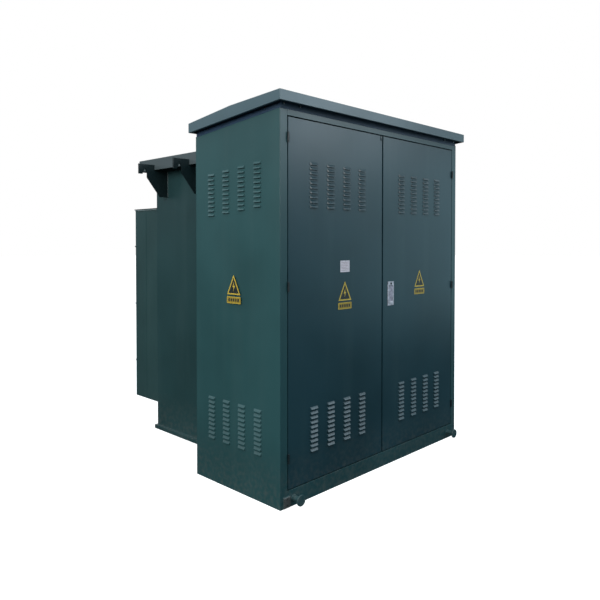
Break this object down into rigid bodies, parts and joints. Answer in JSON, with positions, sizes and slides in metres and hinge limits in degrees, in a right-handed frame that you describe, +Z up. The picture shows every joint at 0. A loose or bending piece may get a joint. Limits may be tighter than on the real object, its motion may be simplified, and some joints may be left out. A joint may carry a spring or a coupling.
{
  "type": "pad-mounted transformer",
  "caption": "Free-standing pad-mounted power transformer: louvred two-door cable cabinet with a sloping roof, in front of a steel oil tank with lifting lugs and rear cooling fins.",
  "frame": {"origin": "on the ground plane, under the middle of the whole object's bounding box", "axes": "+X to the right when facing the doors, +Y towards the rear (the doors face -Y), +Z up"},
  "size_m": [1.93, 2.184, 2.291],
  "materials": {
    "cabinet_paint": "semi-gloss dark green powder coat",
    "door_paint": "semi-gloss dark green powder coat",
    "roof_paint": "semi-gloss dark green powder coat",
    "tank_paint": "semi-gloss dark green powder coat",
    "frame_paint": "semi-gloss dark green powder coat",
    "hinge_steel": "dark painted steel",
    "sign_yellow": "vinyl film",
    "gasket_rubber": "matt sponge",
    "lock_chrome": "satin chrome on cast zinc",
    "button_black": "moulded",
    "zinc_steel": "zinc plated",
    "bare_steel": "bare, scuffed",
    "epoxy_grey": "cast epoxy",
    "fuse_grey": "moulded",
    "red_lever": "red enamel",
    "tinned_copper": "tin plated copper",
    "valve_brass": "turned brass",
    "needle_red": "painted",
    "core_steel": "laminated core sheet",
    "winding": "enamelled copper wire"
  },
  "bodies": {
    "housing": {"left_corner_post": "frame_paint", "right_corner_post": "frame_paint", "left_side_panel": "cabinet_paint", "right_side_panel": "cabinet_paint", "rear_closures": "cabinet_paint", "front_header": "frame_paint", "front_sill": "frame_paint", "base_rails": "frame_paint", "compartment_barrier": "frame_paint", "roof_shell": "roof_paint", "roof_neck": "frame_paint", "roof_ribs": "roof_paint", "frame_hinges": "hinge_steel", "side_signs": "sign_yellow", "lifting_posts": "frame_paint", "ground_pad": "bare_steel", "tank_plate": "tank_paint", "tank_shell": "tank_paint", "tank_base": "tank_paint", "cover_gasket": "gasket_rubber", "tank_cover": "tank_paint", "bolts_and_screws": "zinc_steel", "lifting_lugs": "tank_paint", "fin_wall": "tank_paint", "fin_bars": "tank_paint", "hv_bushings": "epoxy_grey", "fuse_tubes": "fuse_grey", "plate_fittings": "valve_brass", "lv_bushings": "epoxy_grey", "lv_spades": "tinned_copper", "core": "core_steel", "core_clamps": "frame_paint", "windings": "winding"},
    "left_door": {"left_door_skin": "door_paint", "left_door_ribs": "door_paint", "left_door_gasket": "gasket_rubber", "left_door_hinges": "hinge_steel", "left_door_signs": "sign_yellow"},
    "upper_bolt": {"upper_slide_bolt": "zinc_steel"},
    "lower_bolt": {"lower_slide_bolt": "zinc_steel"},
    "right_door": {"right_door_skin": "door_paint", "right_door_ribs": "door_paint", "right_door_gasket": "gasket_rubber", "right_door_hinges": "hinge_steel", "right_door_sign": "sign_yellow", "lock_body": "lock_chrome"},
    "handle": {"lock_handle": "lock_chrome"},
    "button": {"lock_button": "button_black"},
    "cam": {"lock_cam": "zinc_steel"},
    "upper_rod": {"upper_lock_rod": "zinc_steel"},
    "lower_rod": {"lower_lock_rod": "zinc_steel"},
    "fuse_1": {"left_fuse": "fuse_grey"},
    "fuse_2": {"middle_fuse": "fuse_grey"},
    "fuse_3": {"right_fuse": "fuse_grey"},
    "switch_lever": {"switch_handle": "red_lever"},
    "tap_knob": {"tap_handle": "button_black"},
    "level_pointer": {"level_needle": "needle_red"},
    "thermometer_pointer": {"thermometer_needle": "needle_red"},
    "relief_pull": {"relief_ring": "zinc_steel"},
    "drain_valve": {"drain_lever": "red_lever"}
  },
  "joints": [
    {"name": "left_door_hinge", "type": "hinge", "parent": "housing", "child": "left_door", "pos_m": [-0.864, -1.0365, 1.13], "axis": [0, 0, 1], "range_deg": [-115, 0]},
    {"name": "right_door_hinge", "type": "hinge", "parent": "housing", "child": "right_door", "pos_m": [0.864, -1.0365, 1.13], "axis": [0, 0, 1], "range_deg": [0, 115]},
    {"name": "upper_bolt_slide", "type": "slide", "parent": "left_door", "child": "upper_bolt", "axis": [0, 0, 1], "range_m": [0, 0.02]},
    {"name": "lower_bolt_slide", "type": "slide", "parent": "left_door", "child": "lower_bolt", "axis": [0, 0, -1], "range_m": [0, 0.02]},
    {"name": "lock_handle_lift", "type": "hinge", "parent": "right_door", "child": "handle", "pos_m": [0.092, -1.0255, 1.177], "axis": [-1, 0, 0], "range_deg": [0, 80]},
    {"name": "lock_button_press", "type": "slide", "parent": "right_door", "child": "button", "axis": [0, 1, 0], "range_m": [0, 0.003], "stiffness_N_per_m": 600, "springref_m": -0.002},
    {"name": "lock_cam_turn", "type": "hinge", "parent": "right_door", "child": "cam", "pos_m": [0.092, -1.008, 1.135], "axis": [0, 1, 0], "range_deg": [0, 81]},
    {"name": "upper_rod_slide", "type": "slide", "parent": "right_door", "child": "upper_rod", "axis": [0, 0, -1], "range_m": [0, 0.016]},
    {"name": "lower_rod_slide", "type": "slide", "parent": "right_door", "child": "lower_rod", "axis": [0, 0, 1], "range_m": [0, 0.016]},
    {"name": "fuse_1_draw", "type": "slide", "parent": "housing", "child": "fuse_1", "axis": [0, -1, 0], "range_m": [0, 0.3]},
    {"name": "fuse_2_draw", "type": "slide", "parent": "housing", "child": "fuse_2", "axis": [0, -1, 0], "range_m": [0, 0.3]},
    {"name": "fuse_3_draw", "type": "slide", "parent": "housing", "child": "fuse_3", "axis": [0, -1, 0], "range_m": [0, 0.3]},
    {"name": "switch_turn", "type": "hinge", "parent": "housing", "child": "switch_lever", "pos_m": [-0.4, -0.301, 1.27], "axis": [0, 1, 0], "range_deg": [0, 90]},
    {"name": "tap_changer_turn", "type": "hinge", "parent": "housing", "child": "tap_knob", "pos_m": [-0.15, -0.301, 1.27], "axis": [0, 1, 0], "range_deg": [0, 144]},
    {"name": "level_needle_turn", "type": "hinge", "parent": "housing", "child": "level_pointer", "pos_m": [0.17, -0.291, 1.56], "axis": [0, 1, 0], "range_deg": [-60, 60]},
    {"name": "thermometer_needle_turn", "type": "hinge", "parent": "housing", "child": "thermometer_pointer", "pos_m": [0.36, -0.291, 1.56], "axis": [0, 1, 0], "range_deg": [-120, 120]},
    {"name": "relief_valve_pull", "type": "slide", "parent": "housing", "child": "relief_pull", "axis": [0, -1, 0], "range_m": [0, 0.008], "stiffness_N_per_m": 800, "springref_m": -0.004},
    {"name": "drain_valve_turn", "type": "hinge", "parent": "housing", "child": "drain_valve", "pos_m": [0.48, -0.311, 0.21], "axis": [0, 0, 1], "range_deg": [0, 90]}
  ],
  "couplings": [
    {"joint": "lock_cam_turn", "follows": "lock_handle_lift", "ratio": 1},
    {"joint": "upper_rod_slide", "follows": "lock_handle_lift", "m_per_rad": 0.0114},
    {"joint": "lower_rod_slide", "follows": "lock_handle_lift", "m_per_rad": 0.0114}
  ]
}
